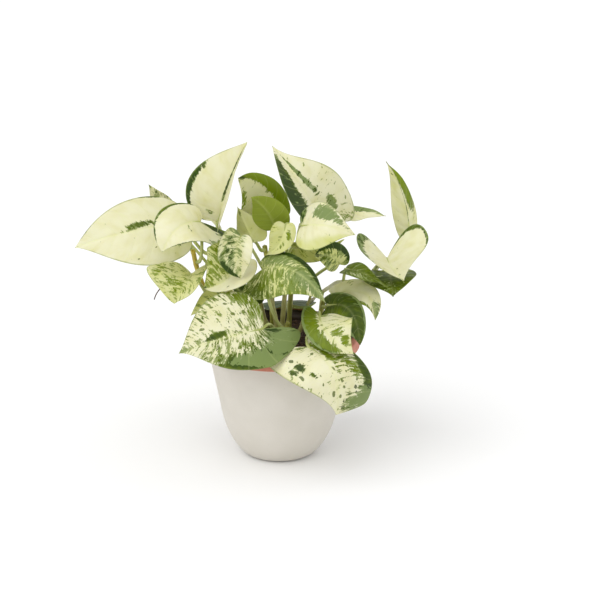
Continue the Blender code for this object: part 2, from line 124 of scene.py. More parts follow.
# A round tube: a circle stands square to the path on each of its points, cos(turn) across and sin(turn) up.
# squash flattens it, and each end closes to a point a share of the radius further on.
def tube(path, radii, sides=14, squash=1.0):
    path, radii = np.asarray(path, float), np.broadcast_to(radii, len(path)).astype(float)
    ahead = unit(np.gradient(path, axis=0))
    across = np.zeros_like(path)
    anyWay, startCap, endCap = (.3, .9, .2), .4, .6
    side = np.cross(ahead[0], anyWay)
    for i, way in enumerate(ahead):
        side = unit(side - way * (side @ way))
        across[i] = side
    up = np.cross(ahead, across)
    turn = np.linspace(0, 2 * np.pi, sides, endpoint=False)
    circle = (across[:, None] * np.cos(turn)[None, :, None]
              + up[:, None] * (np.sin(turn) * squash)[None, :, None])
    rings = path[:, None] + circle * radii[:, None, None]
    ends = [np.repeat(path[:1, None] - ahead[:1, None] * radii[0] * startCap, sides, axis=1),
            np.repeat(path[-1:, None] + ahead[-1:, None] * radii[-1] * endCap, sides, axis=1)]
    grid = np.concatenate([ends[0], rings, ends[1]])
    length = np.concatenate([[0], np.cumsum(np.linalg.norm(np.diff(path, axis=0), axis=1))])
    length = np.concatenate([[0], length, length[-1:]])
    uv = np.stack(np.broadcast_arrays(np.linspace(0, 1, sides + 1)[None, :],
                                      length[:, None] * toCentimetres), -1)
    return skin(grid, uv=uv)


# A turned shape: the profile (radius, height) carried round the upright axis.
def turned(profile, sides=144):
    profile = np.asarray(profile, float)
    turn = np.linspace(0, 2 * np.pi, sides, endpoint=False)
    grid = np.stack([profile[:, :1] * np.cos(turn), profile[:, :1] * np.sin(turn),
                     np.repeat(profile[:, 1:2], sides, axis=1)], -1)
    uv = np.stack(np.broadcast_arrays(np.linspace(0, 1, sides + 1)[None, :],
                                      np.linspace(0, 1, len(profile))[:, None]), -1)
    return skin(grid, uv=uv)


# Rounds a profile's corners: every corner becomes a short Bezier arc that starts and ends reach away from it,
# or nearer where a side is short.
def rounded(profile, reach, steps=5):
    most = .45
    points = [np.asarray(p, float) for p in profile]
    made = [points[0]]
    for before, corner, after in zip(points, points[1:], points[2:]):
        r = min(reach, np.linalg.norm(corner - before) * most, np.linalg.norm(after - corner) * most)
        arc = [corner + unit(before - corner) * r, corner, corner + unit(after - corner) * r]
        made.extend(bezier(arc, steps))
    return np.array(made + [points[-1]])


# A colour given as on a screen, 0 to 255, as Blender's linear values.
def colour(red, green, blue):
    screen = np.array([red, green, blue]) / 255
    linear = np.where(screen <= .04045, screen / 12.92, ((screen + .055) / 1.055) ** 2.4)
    return (*linear.tolist(), 1.0)


class Finish:
    # One material: a Principled shader and short ways to put nodes in front of it.
    def __init__(self, name, **settings):
        self.material = bpy.data.materials.new(name)
        self.material.use_nodes = True
        self.tree = self.material.node_tree
        self.tree.nodes.clear()
        self.shader = self.put("ShaderNodeBsdfPrincipled")
        output = self.put("ShaderNodeOutputMaterial")
        self.tree.links.new(self.shader.outputs[0], output.inputs[0])
        for key, value in settings.items():
            self.shader.inputs[key.replace("_", " ")].default_value = value

    def put(self, kind, inputs=(), **settings):
        node = self.tree.nodes.new(kind)
        for key, value in settings.items():
            setattr(node, key, value)
        for key, value in dict(inputs).items():
            self.plug(node.inputs[key], value)
        return node

    def plug(self, socket, value):
        if isinstance(value, bpy.types.NodeSocket):
            self.tree.links.new(value, socket)
        else:
            socket.default_value = value

    def sum(self, *terms):
        total = terms[0]
        for term in terms[1:]:
            total = self.maths("ADD", total, term)
        return total

    def maths(self, operation, a, b=0.0):
        return self.put("ShaderNodeMath", {0: a, 1: b}, operation=operation).outputs[0]

    def scaled(self, value, amount, shift=0.0):
        node = self.put("ShaderNodeMath", {0: value, 1: amount, 2: shift}, operation="MULTIPLY_ADD")
        return node.outputs[0]

    def step(self, value, low, high):  # 0 below low, 1 above high, smooth between
        node = self.put("ShaderNodeMapRange", {0: value, 1: low, 2: high}, interpolation_type="SMOOTHSTEP")
        return node.outputs[0]

    def mix(self, share, a, b, blend="MIX"):
        node = self.put("ShaderNodeMix", {0: share, 6: a, 7: b}, data_type="RGBA", blend_type=blend)
        return node.outputs[2]

    def uv(self, layer, scale=(1, 1, 1), place=(0, 0, 0)):
        found = self.put("ShaderNodeUVMap", uv_map=layer).outputs[0]
        return self.put("ShaderNodeMapping", {0: found, 1: place, 3: scale}).outputs[0]

    def object(self, scale=(1, 1, 1)):
        found = self.put("ShaderNodeTexCoord").outputs["Object"]
        return self.put("ShaderNodeMapping", {0: found, 3: scale}).outputs[0]

    def value(self, name):
        return self.put("ShaderNodeAttribute", attribute_name=name).outputs["Fac"]

    def noise(self, vector, scale, detail=2.0, rough=.5, bend=0.0):
        node = self.put("ShaderNodeTexNoise", {0: vector, "Scale": scale, "Detail": detail,
                                               "Roughness": rough, "Distortion": bend})
        return node.outputs[0]

    def bump(self, height, strength, distance):
        self.plug(self.shader.inputs["Normal"], self.put(
            "ShaderNodeBump", {"Height": height, "Strength": strength, "Distance": distance}).outputs[0])

    def paint(self, colourSocket, roughness=None):
        self.plug(self.shader.inputs["Base Color"], colourSocket)
        if roughness is not None:
            self.plug(self.shader.inputs["Roughness"], roughness)
        return self.material


# The leaf's skin: cream ground, grey-green and dark green patches that run out along the side veins,
# small freckles, a pale midrib. "green" says how much green there is, the noises say where it stops.
def leafFinish():
    # The bright green (110, 128, 0) is painted light: the leaf's green as it looks with light shining through
    # the leaf.
    look = {"cream": colour(222, 220, 186), "ivory": colour(210, 205, 150), "lime": colour(188, 193, 98),
            "sage": colour(117, 134, 76), "bright": colour(110, 128, 0), "dark": colour(40, 60, 0),
            "rib": colour(212, 216, 146), "streaks": 1.5, "blots": .75, "flecks": .55,
            "streakScale": (8.5, 1.25, 1), "blotScale": (1.3, .7, 1), "fleckScale": (17, 6, 1),
            "otherScale": (4.5, 1.1, 1), "spotScale": (3.2, 2.3, 1), "spotReach": .7,
            "shakeScale": (9, 6, 1), "shakeReach": (.35, .35, 0),
            "darkFrom": (.5, .54), "sageFrom": (.37, .45), "deepFrom": (.42, .55), "edgeFrom": (.955, .985),
            "veinWidth": .05, "edgeLine": .55, "underMix": .18, "grain": 1400}
    f = Finish("leafSkin", Roughness=.42, Subsurface_Weight=.1, Subsurface_Scale=.003,
               Subsurface_Radius=(.8, 1.0, .3), Specular_IOR_Level=.24)
    green, bright, lime, under, rib, speck, depth = [
        f.value(name) for name in ("green", "bright", "lime", "under", "rib", "speck", "depth")]
    streak = f.noise(f.uv("flow", look["streakScale"]), 1.0, 4.0, .62, .6)
    blot = f.noise(f.uv("flow", look["blotScale"], (3.1, 7.7, 0)), 1.0, 2.0, .5, .2)
    fleck = f.noise(f.uv("flow", look["fleckScale"], (9.4, 1.3, 0)), 1.0, 3.0, .6)
    other = f.noise(f.uv("flow", look["otherScale"], (5.2, 2.9, 0)), 1.0, 4.0, .62, .4)
    wave = f.sum(f.scaled(streak, look["streaks"], -look["streaks"] / 2),
                 f.scaled(blot, look["blots"], -look["blots"] / 2),
                 f.scaled(fleck, look["flecks"], -look["flecks"] / 2))
    field = f.sum(green, wave)
    paleField = f.sum(green, f.scaled(wave, .6), f.scaled(other, 1.2, -.6))
    darkShare = f.step(field, *look["darkFrom"])
    sageShare = f.scaled(f.step(paleField, *look["sageFrom"]), .85)
    place = f.uv("flow", look["spotScale"])
    shake = f.put("ShaderNodeTexNoise", {0: f.uv("flow", look["shakeScale"]), "Scale": 1.0}).outputs[1]
    push = f.put("ShaderNodeVectorMath", {0: shake, 1: look["shakeReach"]}, operation="MULTIPLY").outputs[0]
    moved = f.put("ShaderNodeVectorMath", {0: place, 1: push}, operation="ADD").outputs[0]
    spots = f.put("ShaderNodeTexVoronoi", {0: moved, "Scale": 1.0})
    chance = f.put("ShaderNodeSeparateXYZ", {0: spots.outputs[1]}).outputs[0]
    reach = f.maths("MULTIPLY", f.maths("SUBTRACT", chance, f.scaled(speck, -.7, 1.0)), look["spotReach"])
    dotShare = f.step(f.maths("SUBTRACT", reach, spots.outputs[0]), 0, .03)
    ground = f.mix(f.step(f.sum(blot, f.scaled(other, .3, -.15)), .3, 1.0), look["cream"], look["ivory"])
    ground = f.mix(f.step(f.sum(lime, f.scaled(blot, .5, -.25)), 0, 1), ground, look["lime"])
    # Painted light: this share moves the green from dark toward the lit-through bright green.
    litThroughShare = f.step(f.sum(bright, f.scaled(other, .8, -.4)), .1, .9)
    deep = f.mix(litThroughShare, look["dark"], look["bright"])
    soft = f.mix(f.scaled(litThroughShare, .8), look["sage"], look["bright"])
    skinColour = f.mix(sageShare, ground, soft)
    skinColour = f.mix(f.scaled(dotShare, .85), skinColour, deep)
    depthShare = f.step(f.sum(depth, f.scaled(other, 1.6, -.8), f.scaled(streak, .8, -.4)), *look["deepFrom"])
    skinColour = f.mix(darkShare, skinColour, f.mix(depthShare, soft, deep))
    side = f.put("ShaderNodeSeparateXYZ", {0: f.uv("share")}).outputs[0]
    veinShare = f.scaled(f.step(f.maths("PINGPONG", side, .5), 0, look["veinWidth"]), -1.0, 1.0)
    skinColour = f.mix(f.scaled(veinShare, .12), skinColour, look["rib"])
    skinColour = f.mix(f.scaled(rib, .5), skinColour, look["rib"])
    edge = f.maths("ABSOLUTE", f.put("ShaderNodeSeparateXYZ", {0: f.uv("share")}).outputs[1])
    edgeShare = f.step(f.sum(edge, f.scaled(blot, .07, -.035)), *look["edgeFrom"])
    skinColour = f.mix(f.scaled(edgeShare, look["edgeLine"]), skinColour, soft)
    skinColour = f.mix(f.scaled(under, look["underMix"]), skinColour, look["lime"])
    grain = f.noise(f.object((1, 1, 1)), look["grain"], 2.0)
    f.bump(f.sum(f.scaled(grain, .3), f.scaled(veinShare, -.4), f.scaled(streak, .8)), .35, .0003)
    rough = f.sum(f.scaled(blot, .14, .32), f.scaled(under, .16))
    return f.paint(skinColour, rough)


# Stalks, vines and roots: two shades with long faint streaks along them.
def stalkFinish(name, light, dark, spread=.5):
    f = Finish(name, Roughness=.42, Subsurface_Weight=.1, Subsurface_Scale=.004,
               Subsurface_Radius=(.8, 1.0, .3))
    streak = f.noise(f.uv("flow", (9, .35, 1)), 1.0, 3.0, .6)
    cloud = f.noise(f.object(), 70, 2.0)
    share = f.step(f.sum(f.scaled(streak, spread), f.scaled(cloud, 1 - spread)), .38, .62)
    f.bump(streak, .25, .0004)
    return f.paint(f.mix(share, colour(*light), colour(*dark)))


leafSkin = leafFinish()
stalkSkin = stalkFinish("stalkSkin", (206, 212, 140), (150, 160, 78))
shootSkin = stalkFinish("shootSkin", (188, 184, 120), (140, 136, 74))
ripeSkin = stalkFinish("ripeSkin", (216, 192, 78), (178, 158, 54))
vineSkin = stalkFinish("vineSkin", (176, 172, 76), (120, 122, 48))
rootSkin = stalkFinish("rootSkin", (98, 66, 46), (56, 34, 24))

soilTop = 103
vines = {
    "vine_left": ((-28, -4), (-64, -8, 130), (-72, -4, 182)),
    "vine_left_back": ((-22, 20), (-48, 26, 140), (-60, 24, 176)),
    "vine_middle": ((-6, 4), (-4, 2, 140), (-12, 2, 184)),
    "vine_middle_back": ((8, 24), (10, 28, 140), (14, 26, 178)),
    "vine_right": ((30, 2), (54, 14, 125), (88, 34, 160)),
    "vine_front": ((4, -24), (2, -27, 112), (8, -28, 126)),
    "vine_front_right": ((26, -16), (34, -14, 120), (38, -8, 140)),
}


def vinePath(name, count):
    foot, bend, end = vines[name]
    return bezier([(*foot, soilTop + 2), bend, end], count)


# Where a stalk or a root leaves a vine: a share along it, and square to it.
def budOn(name, share, aim):
    path = vinePath(name, 101)
    at = int(round(share * 100))
    ahead = unit(np.gradient(path, axis=0))[at]
    toward = np.asarray(aim, float) - path[at]
    return path[at], unit(toward - ahead * (toward @ ahead))


outline = {"samples": 400, "earPower": 9, "earSize": 2.67, "dripPower": 6, "ribPower": 1.8,
           "bowX": .3, "bowY": .58}


# Half of a heart-shaped blade, flat. turn goes from the stalk (0) round to the tip (pi), and out goes from
# the midrib (0) to the margin (1). The margin's x is (1 - cos turn) / 2, less an ear that follows a high
# power of cos(turn / 2). Its y is sin(turn) times a power of cos(turn / 2), which narrows it to the tip.
# drip draws the tip out into a narrow point. Each side vein is a bowed line from midrib to margin.
def halfOutline(turn, out, width, ear, point, drip):
    cosine = np.abs(np.cos(turn / 2))
    fine = np.linspace(0, np.pi, outline["samples"])
    widest = (np.sin(fine) * np.cos(fine / 2).clip(1e-9) ** (2 * point)).max()
    edgeX = (1 - np.cos(turn)) / 2 - ear * np.sin(turn) * cosine ** outline["earPower"] * outline["earSize"]
    narrow = 1 - drip * ((1 - np.cos(turn)) / 2) ** outline["dripPower"]
    edgeY = np.sin(turn) * cosine.clip(1e-9) ** (2 * point) / widest * narrow
    ribX = ((1 - np.cos(turn)) / 2) ** outline["ribPower"]
    bowX = ribX + outline["bowX"] * (edgeX - ribX)
    x = (1 - out) ** 2 * ribX + 2 * out * (1 - out) * bowX + out ** 2 * edgeX
    y = (2 * out * (1 - out) * outline["bowY"] + out ** 2) * edgeY
    return x, y * width


# The midrib is the parabola through base, middle and tip; before the base it runs on straight.
def midrib(leaf, x):
    base, mid, tip = [np.asarray(leaf[k], float) for k in ("base", "mid", "tip")]
    x = np.asarray(x, float)[..., None]
    t = x.clip(0, 1.2)
    slope = base * (4 * t - 3) + mid * (4 - 8 * t) + tip * (4 * t - 1)
    points = base * (1 - t) * (1 - 2 * t) + mid * 4 * t * (1 - t) + tip * t * (2 * t - 1)
    return points + np.minimum(x, 0) * slope, unit(slope)


# One half of the blade in space: every vein leans up from the midrib by fold, and bends on by curl on its way
# out, so it is an arc with sin and cos of the lean as its two parts.
def halfBlade(leaf, side, turn, out):
    width, ear, point = leaf["wide"][side], leaf["lobes"][side], leaf["point"][side]
    x, y = halfOutline(turn, out, width, ear, point, leaf["drip"])
    spine, ahead = midrib(leaf, x)
    chord = unit(np.subtract(leaf["tip"], leaf["base"]))
    ahead = unit(ahead * (1 - leaf["even"]) + chord * leaf["even"])
    face = unit(np.asarray(leaf["face"], float))
    up = unit(face - (ahead @ face)[..., None] * ahead)
    right = np.cross(ahead, up) * (1 if side else -1)
    fold, curl = np.radians(leaf["fold"][side]), np.radians(leaf["curl"][side])
    flattest = .001
    curl = curl if abs(curl) > flattest else flattest
    lean = fold + curl * y / width
    size = np.linalg.norm(np.subtract(leaf["tip"], leaf["base"]))
    sideways = width * (np.sin(lean) - np.sin(fold)) / curl
    sideways = sideways + leaf["close"][side] * np.minimum(x, 0) * size
    rise = width * (np.cos(fold) - np.cos(lean)) / curl
    return spine + right * sideways[..., None] + up * rise[..., None], y


blade = {"rows": 64, "thick": .55, "margin": .14, "ribHigh": .9, "ribWide": 1.1, "groove": .4,
         "quilt": .28, "veins": 9, "endFade": .7, "quiltSharp": 3, "quiltFade": .6, "quiltSize": 45,
         "grooveFade": .5, "marginPower": 8, "ribFade": .8, "ribPaintFade": .35, "wave": (.7, 2.5, .3),
         "halfShift": .37, "uvStep": (7.3, 3.1)}
stalk = {"radius": 1.5, "start": 3.05, "rise": 5, "sink": 1.4, "under": (.02, .16, 4), "count": 22,
         "sides": 14, "squash": .92, "along": [0, .06, .2, .84, 1], "shape": [1.25, 1.2, 1.0, .86, .35]}
plainLeaf = {"wide": (24, 24), "lobes": (.1, .1), "fold": (5, 5), "curl": (0, 0), "point": (.65, .65),
             "close": (0, 0), "even": 0, "drip": .4, "green": .08, "bright": .2, "depth": .65,
             "lime": .1, "speck": .2, "rib": .8, "patches": ()}
halfShares = np.array([0, .02, .045, .08, .13, .19, .26, .34, .42, .5,
                       .58, .66, .74, .81, .87, .92, .96, .985, 1])
leafCount = 0


# A leaf: two halves side by side and a lower face under them. The top follows a sine along the margin
# (wave), dips by a power of cosine at each side vein (quilt) and by a Gaussian at the midrib (groove).
def addLeaf(name, leaf):
    global leafCount
    leafCount += 1
    leaf = {**plainLeaf, **leaf}
    turn = np.pi * np.linspace(0, 1, blade["rows"] + 1)[:, None]
    left, leftOff = halfBlade(leaf, 0, turn, halfShares[None, :])
    right, rightOff = halfBlade(leaf, 1, turn, halfShares[None, :])
    top = np.concatenate([left[:, :0:-1], right], axis=1)
    off = np.concatenate([leftOff[:, :0:-1], rightOff], axis=1)
    across = np.concatenate([-halfShares[:0:-1], halfShares])[None, :] + 0 * top[..., 0]
    along = turn / np.pi + 0 * across
    size = np.linalg.norm(np.subtract(leaf["tip"], leaf["base"]))
    top[0], top[-1] = leaf["base"], leaf["tip"]
    normal = np.cross(np.gradient(top, axis=1), np.gradient(top, axis=0))
    middle = top.shape[1] // 2
    normal[0], normal[-1] = normal[1, middle], normal[-2, middle]
    normal = unit(normal)
    ends = np.sin(np.pi * along) ** blade["endFade"]
    waveHigh, waveCount, phaseStep = blade["wave"]
    amount, count, phase = leaf.get("wave", (waveHigh, waveCount, phaseStep * leafCount))
    ripple = np.sin(2 * np.pi * (count * along + phase + blade["halfShift"] * (across > 0)))
    lift = amount * across ** 2 * ends * ripple
    veinPulse = (.5 + .5 * np.cos(2 * np.pi * blade["veins"] * along)) ** blade["quiltSharp"]
    lift = lift - (blade["quilt"] * ends * veinPulse
                   * np.sin(np.pi * np.abs(across)) ** blade["quiltFade"] * min(1, size / blade["quiltSize"]))
    near = np.exp(-(off / blade["ribWide"]) ** 2)
    lift = lift - blade["groove"] * near * (1 - along) ** blade["grooveFade"]
    top = top + normal * lift[..., None]
    thick = blade["margin"] + (blade["thick"] - blade["margin"]) * (1 - across ** blade["marginPower"])
    thick = thick + blade["ribHigh"] * near * (1 - along) ** blade["ribFade"]
    low = (top - normal * thick[..., None])[:, ::-1]
    grid = np.concatenate([top, low], axis=1)
    grid[0], grid[-1] = grid[0, middle], grid[-1, middle]

    def both(table):
        return np.concatenate([table, table[:, ::-1]], axis=1)

    long = np.linalg.norm(top - top[:, middle:middle + 1], axis=-1) * np.sign(across)
    stepX, stepY = blade["uvStep"]
    uv = np.stack([along * size * toCentimetres + stepX * leafCount,
                   long * toCentimetres + stepY * leafCount], -1)
    share = np.stack([along * blade["veins"], across], -1)
    paint = {key: np.full_like(along, leaf[key]) for key in ("green", "bright", "depth", "lime", "speck")}
    for place in leaf["patches"]:
        s, v, reachS, reachV, amount, *tones = place
        weight = np.exp(-(((along - s) / reachS) ** 2 + ((across - v) / reachV) ** 2) ** 2)
        paint["green"] += amount * weight
        for key, tone in zip(("bright", "depth", "lime"), tones):
            paint[key] += (tone - paint[key]) * weight
    paint["rib"] = near * (1 - along) ** blade["ribPaintFade"] * leaf["rib"]
    lower = np.concatenate([0 * along, 1 + 0 * along], axis=1)
    values = {key: both(table) for key, table in paint.items()}
    skins = [skin(grid, uv=np.concatenate([uv, uv[:, ::-1]], axis=1),
                  share=np.concatenate([share, share[:, ::-1]], axis=1), under=lower, **values)]

    bud, out = budOn(*leaf["grows"], leaf["via"])
    start = bud + out * stalk["start"]
    rib, ahead = midrib(leaf, np.linspace(*stalk["under"]))
    face = unit(np.asarray(leaf["face"], float))
    rib = rib - unit(face - (ahead @ face)[:, None] * ahead) * blade["thick"] * stalk["sink"]
    curve = bezier([start, start + out * stalk["rise"], leaf["via"], leaf["base"]], stalk["count"])
    path = np.vstack([[bud], curve[:-1], rib])
    radii = stalk["radius"] * np.interp(np.linspace(0, 1, len(path)), stalk["along"], stalk["shape"])
    skins.append(tube(path, radii, stalk["sides"], stalk["squash"]))
    addPiece(name, skins, [leafSkin, stalkSkin], [name])


# Each patch is (along, across, reach along, reach across, more green), then the bright, depth and lime it
# pulls toward. bright is painted light: leaf green made lighter and yellower, as when lit through from
# behind.
# along runs from stalk to tip, across from one margin (-1) to the other (1).
addLeaf("leaf_front_left", {
    "base": (-12, -70, 135), "mid": (-46, -84, 131), "tip": (-80, -88, 120), "face": (-.1, -.85, .52),
    "wide": (32, 38), "close": (.4, 0), "lobes": (.5, .1), "fold": (-5, 5), "curl": (-5, -15),
    "point": (.7, .4), "grows": ("vine_front", .35), "via": (-4, -52, 142), "green": .36, "speck": .8,
    "bright": .5, "drip": .65, "patches": [(.22, .8, .22, .45, .2, .6), (.64, .12, .07, .08, .6, .3, .9),
        (.12, -.7, .3, .6, .4, 0, .24), (.4, -.8, .16, .3, .38, 0, .2), (.03, -.3, .1, .5, .3, 0, .9),
        (.48, -.96, .09, .1, .7, .3, .9), (.6, -.85, .14, .2, .1), (.93, 0, .1, .9, .3, 0, 0),
        (.55, .65, .25, .35, -.08)]})
addLeaf("leaf_front_right", {
    "base": (24, -68, 119), "mid": (46, -88, 102), "tip": (47, -86, 66), "face": (-.1, -.85, .5),
    "wide": (35, 36), "even": .7, "lobes": (.15, .25), "fold": (-15, 10), "curl": (-38, -12),
    "point": (-.4, .8), "grows": ("vine_front_right", .1), "via": (22, -50, 126), "green": .2,
    "speck": .9, "bright": .4, "lime": 0, "drip": 0, "patches": [(.4, .55, .045, .08, .62, .2, .9),
        (.4, .76, .035, .05, .6, .3, .9), (.52, .5, .03, .05, .5), (.22, -.3, .24, .22, .34, .7),
        (.5, -.5, .2, .2, .3, .7), (.62, -.92, .2, .24, .8, .3, .9), (.86, -.7, .14, .55, .5, 0, .1),
        (.3, -.85, .16, .2, -.12), (.72, -.35, .1, .1, -.2, 0, .2), (.1, .1, .1, .3, .3, .6),
        (.34, -.14, .28, .08, .36, .7, .5)]})
addLeaf("leaf_front_small", {
    "base": (34, -52, 140), "mid": (42, -72, 130), "tip": (61, -80, 117), "face": (.1, -.8, .55),
    "wide": (25, 16), "lobes": (.1, .35), "fold": (0, 5), "curl": (0, -20), "point": (.35, .4),
    "grows": ("vine_front_right", .55), "via": (34, -36, 144), "green": .24, "lime": .3, "bright": .6,
    "speck": .7, "patches": [(.35, .7, .38, .46, .85, .7, .7), (.35, .98, .35, .12, .2, 0, .2),
        (.62, -.35, .05, .35, .35, .8), (.74, -.45, .05, .35, .35, .8), (.1, -.3, .15, .6, .25, .8)]})
addLeaf("leaf_right_low", {
    "base": (41, -22, 139), "mid": (60, -34, 138), "tip": (68, -40, 110), "face": (.3, -.7, .6),
    "wide": (17, 24), "lobes": (.15, .2), "fold": (0, 5), "curl": (-40, -20), "point": (.3, .4),
    "grows": ("vine_front_right", .85), "via": (42, -16, 140), "green": .95, "bright": .35, "depth": .8,
    "rib": .25, "patches": [(.5, -.95, .4, .16, -.1, 0, 0), (.35, .35, .3, .2, .1, .6),
        (.6, .9, .3, .15, 0, .1, .2)]})
addLeaf("leaf_middle", {
    "base": (-13, -40, 177), "mid": (15, -57, 179), "tip": (39, -62, 154), "face": (.1, -.75, .65),
    "wide": (16, 27), "lobes": (.1, .35), "fold": (5, 0), "curl": (-30, -35), "grows": ("vine_front", .8),
    "via": (-10, -30, 145), "green": .46, "lime": .6, "speck": .7, "bright": .6, "depth": .3, "patches": [
        (.5, -.9, .34, .2, .75, 0, .95), (.25, .75, .16, .4, .1, .5, .7), (.8, 0, .2, .9, .16, 0, .2, .3),
        (.35, -.4, .25, .3, .1, .3, .1, .5)]})
addLeaf("leaf_left_cup", {
    "base": (-30, -36, 183), "mid": (-41, -48, 171), "tip": (-61, -47, 162), "face": (-.1, -.4, .9),
    "wide": (18, 32), "fold": (0, 62), "curl": (10, 0), "point": (.4, .3), "grows": ("vine_middle", .45),
    "via": (-26, -32, 168), "green": .34, "lime": .6, "bright": .8, "speck": .4, "patches": [
        (.6, .5, .3, .5, .1), (.5, -.6, .6, .6, -.3, .3, .3, 0), (.96, 0, .08, .8, .5, 0, .8)]})
addLeaf("leaf_hanging", {
    "base": (-30, -46, 207), "mid": (-34, -54, 191), "tip": (-30, -54, 173), "face": (.25, -.93, .2),
    "wide": (14, 19), "lobes": (.1, .08), "fold": (30, 15), "curl": (10, 20), "point": (.2, .4),
    "grows": ("vine_middle", .7), "via": (-22, -26, 195), "green": .36, "lime": .35, "bright": .3,
    "depth": .15, "patches": [(.5, .35, .3, .22, .12, .2, .5), (.75, .9, .2, .3, .6, 0, 1),
        (.5, -.8, .5, .4, -.3, .2, .2, 0), (.1, 0, .12, .9, .2, 0, .4)]})
addLeaf("leaf_left_small", {
    "base": (-72, -28, 169), "mid": (-78, -42, 162), "tip": (-86, -44, 148), "face": (-.1, -.9, .4),
    "wide": (15, 35), "lobes": (.35, .3), "fold": (35, 5), "curl": (0, -10), "point": (.5, 0),
    "grows": ("vine_left", .62), "via": (-68, -16, 162), "green": .3, "lime": .55, "bright": .85,
    "speck": .6, "patches": [(.4, .7, .1, .4, .12), (.6, .4, .08, .4, .12),
        (.5, -.7, .4, .4, .05, .6, .2)]})
addLeaf("leaf_left_front", {
    "base": (-64, -18, 211), "mid": (-82, -38, 211), "tip": (-94, -46, 193), "face": (-.1, -.85, .5),
    "wide": (26, 22), "lobes": (.7, .1), "curl": (20, -20), "point": (.6, .15),
    "grows": ("vine_left", .9), "via": (-64, -10, 196), "green": .05, "lime": .08, "patches": [
        (.42, .98, .2, .11, 1, .4), (.72, .98, .09, .07, .8, 0), (.03, -.6, .2, .7, 1.1, .2, .8),
        (.22, -.9, .22, .25, .6, .8, .7), (.65, -1, .25, .05, .8, 0), (.98, 0, .04, .7, .7),
        (.5, -.25, .03, .2, .25)]})
addLeaf("leaf_left_large", {
    "base": (-83, 0, 204), "mid": (-128, -8, 199), "tip": (-170, -14, 187), "face": (-.05, -.85, .5),
    "wide": (33, 27), "lobes": (.15, .08), "fold": (3, 3), "curl": (-10, 0), "point": (.6, .4),
    "grows": ("vine_left", .97), "via": (-76, 2, 196), "green": .06, "lime": .05, "speck": .4,
    "bright": .5, "patches": [(.52, .14, .08, .12, .6, .4, .8), (.35, 1, .06, .05, 1, 0),
        (.75, 1, .07, .04, .8, 0), (.97, 0, .03, .8, .8, 0), (.6, .02, .04, .06, .4),
        (.25, -.6, .02, .1, .4), (.2, .3, .12, .2, .12, .5), (.1, -.3, .3, .9, 0, .2, .5, .4)]})
addLeaf("leaf_top_left", {
    "base": (-50, -8, 209), "mid": (-40, -14, 244), "tip": (-26, -4, 275), "face": (-.2, -.95, .2),
    "wide": (34, 20), "fold": (10, 70), "curl": (-20, 0), "point": (.5, .65), "grows": ("vine_left", .8),
    "via": (-54, 2, 190), "green": .05, "lime": .08, "speck": .3, "bright": .4, "rib": .3, "patches": [
        (.33, -.97, .27, .15, 1, 0, .9), (.68, -.03, .24, .035, .8, 0), (.3, -.25, .05, .12, .4),
        (.1, 0, .1, .6, .16, .8), (.12, .5, .12, .5, .2, .8)]})
addLeaf("leaf_top_right", {
    "base": (33, 0, 213), "mid": (16, -10, 244), "tip": (-5, 4, 270), "face": (.2, -.9, .35),
    "wide": (26, 36), "lobes": (.05, .5), "fold": (42, 0), "curl": (0, -15), "point": (.5, 1.0),
    "grows": ("vine_middle_back", .9), "via": (30, 12, 198), "green": .14, "speck": .55, "bright": .5,
    "lime": .08, "rib": .3, "patches": [(.42, -.78, .36, .5, .95, .1, .7),
        (.66, .24, .22, .11, .68, .1, .3), (.25, .42, .13, .12, .62, .1, .3),
        (.45, .75, .35, .3, .06, 1, .2), (.1, .85, .1, .2, .25, 1, .2)]})
addLeaf("leaf_top_arched", {
    "base": (2, 12, 209), "mid": (-14, 8, 234), "tip": (-34, 6, 242), "face": (0, -.8, .6),
    "wide": (33, 14), "lobes": (.08, .1), "fold": (-8, 10), "curl": (0, -50), "point": (.1, .5),
    "grows": ("vine_middle_back", .7), "via": (6, 12, 190), "green": .2, "lime": .35, "bright": .8,
    "rib": .2, "patches": [(.45, .75, .5, .62, 1, 1, 1), (.7, -.85, .12, .3, .3, 1),
        (.9, .4, .1, .6, .6, 0)]})
addLeaf("leaf_turned", {
    "base": (-2, -22, 207), "mid": (-10, -25, 223), "tip": (-22, -26, 234), "face": (.2, .8, .5),
    "wide": (16, 16), "fold": (5, -4), "curl": (10, -6), "point": (.35, .35),
    "grows": ("vine_middle", .9), "via": (-2, -8, 198), "green": 1.1, "bright": .8, "depth": 1, "rib": .4,
    "wave": (.4, 1.5, 0)})
addLeaf("leaf_inner_pale", {
    "base": (-20, -12, 192), "mid": (-27, -12, 206), "tip": (-34, -8, 221), "face": (.3, .8, .4),
    "wide": (15, 15), "curl": (10, 10), "grows": ("vine_middle", .97), "via": (-17, -4, 188), "green": .1,
    "lime": .5, "patches": [(.85, 0, .12, .5, .5, 0)]})
addLeaf("leaf_inner_front", {
    "base": (6, -34, 213), "mid": (1, -38, 198), "tip": (-10, -38, 188), "face": (.1, -.9, .3),
    "wide": (10, 12), "fold": (15, 15), "grows": ("vine_middle", .8), "via": (16, -22, 216), "green": .22,
    "lime": .6, "bright": .8, "patches": [(.5, -.4, .3, .2, .25)]})
addLeaf("leaf_right_upper", {
    "base": (19, -42, 214), "mid": (39, -56, 218), "tip": (63, -56, 210), "face": (.1, -.7, .7),
    "wide": (20, 22), "lobes": (.15, .1), "fold": (15, -10), "curl": (0, -20),
    "grows": ("vine_middle_back", .8), "via": (18, 0, 212), "green": .14, "bright": .15, "depth": .4,
    "patches": [(.55, -.6, .2, .35, .55, 0, .1), (.14, -.7, .12, .5, .6, 0, .5),
        (.4, .9, .5, .4, 0, .3, .3, .6), (.92, 0, .1, .6, .3, .1, .7)]})
addLeaf("leaf_right_under", {
    "base": (11, -2, 184), "mid": (33, -10, 185), "tip": (55, -10, 193), "face": (0, -.8, -.5),
    "wide": (14, 14), "fold": (15, 15), "grows": ("vine_middle", .6), "via": (4, -4, 174), "green": .3,
    "lime": .8, "bright": .7})
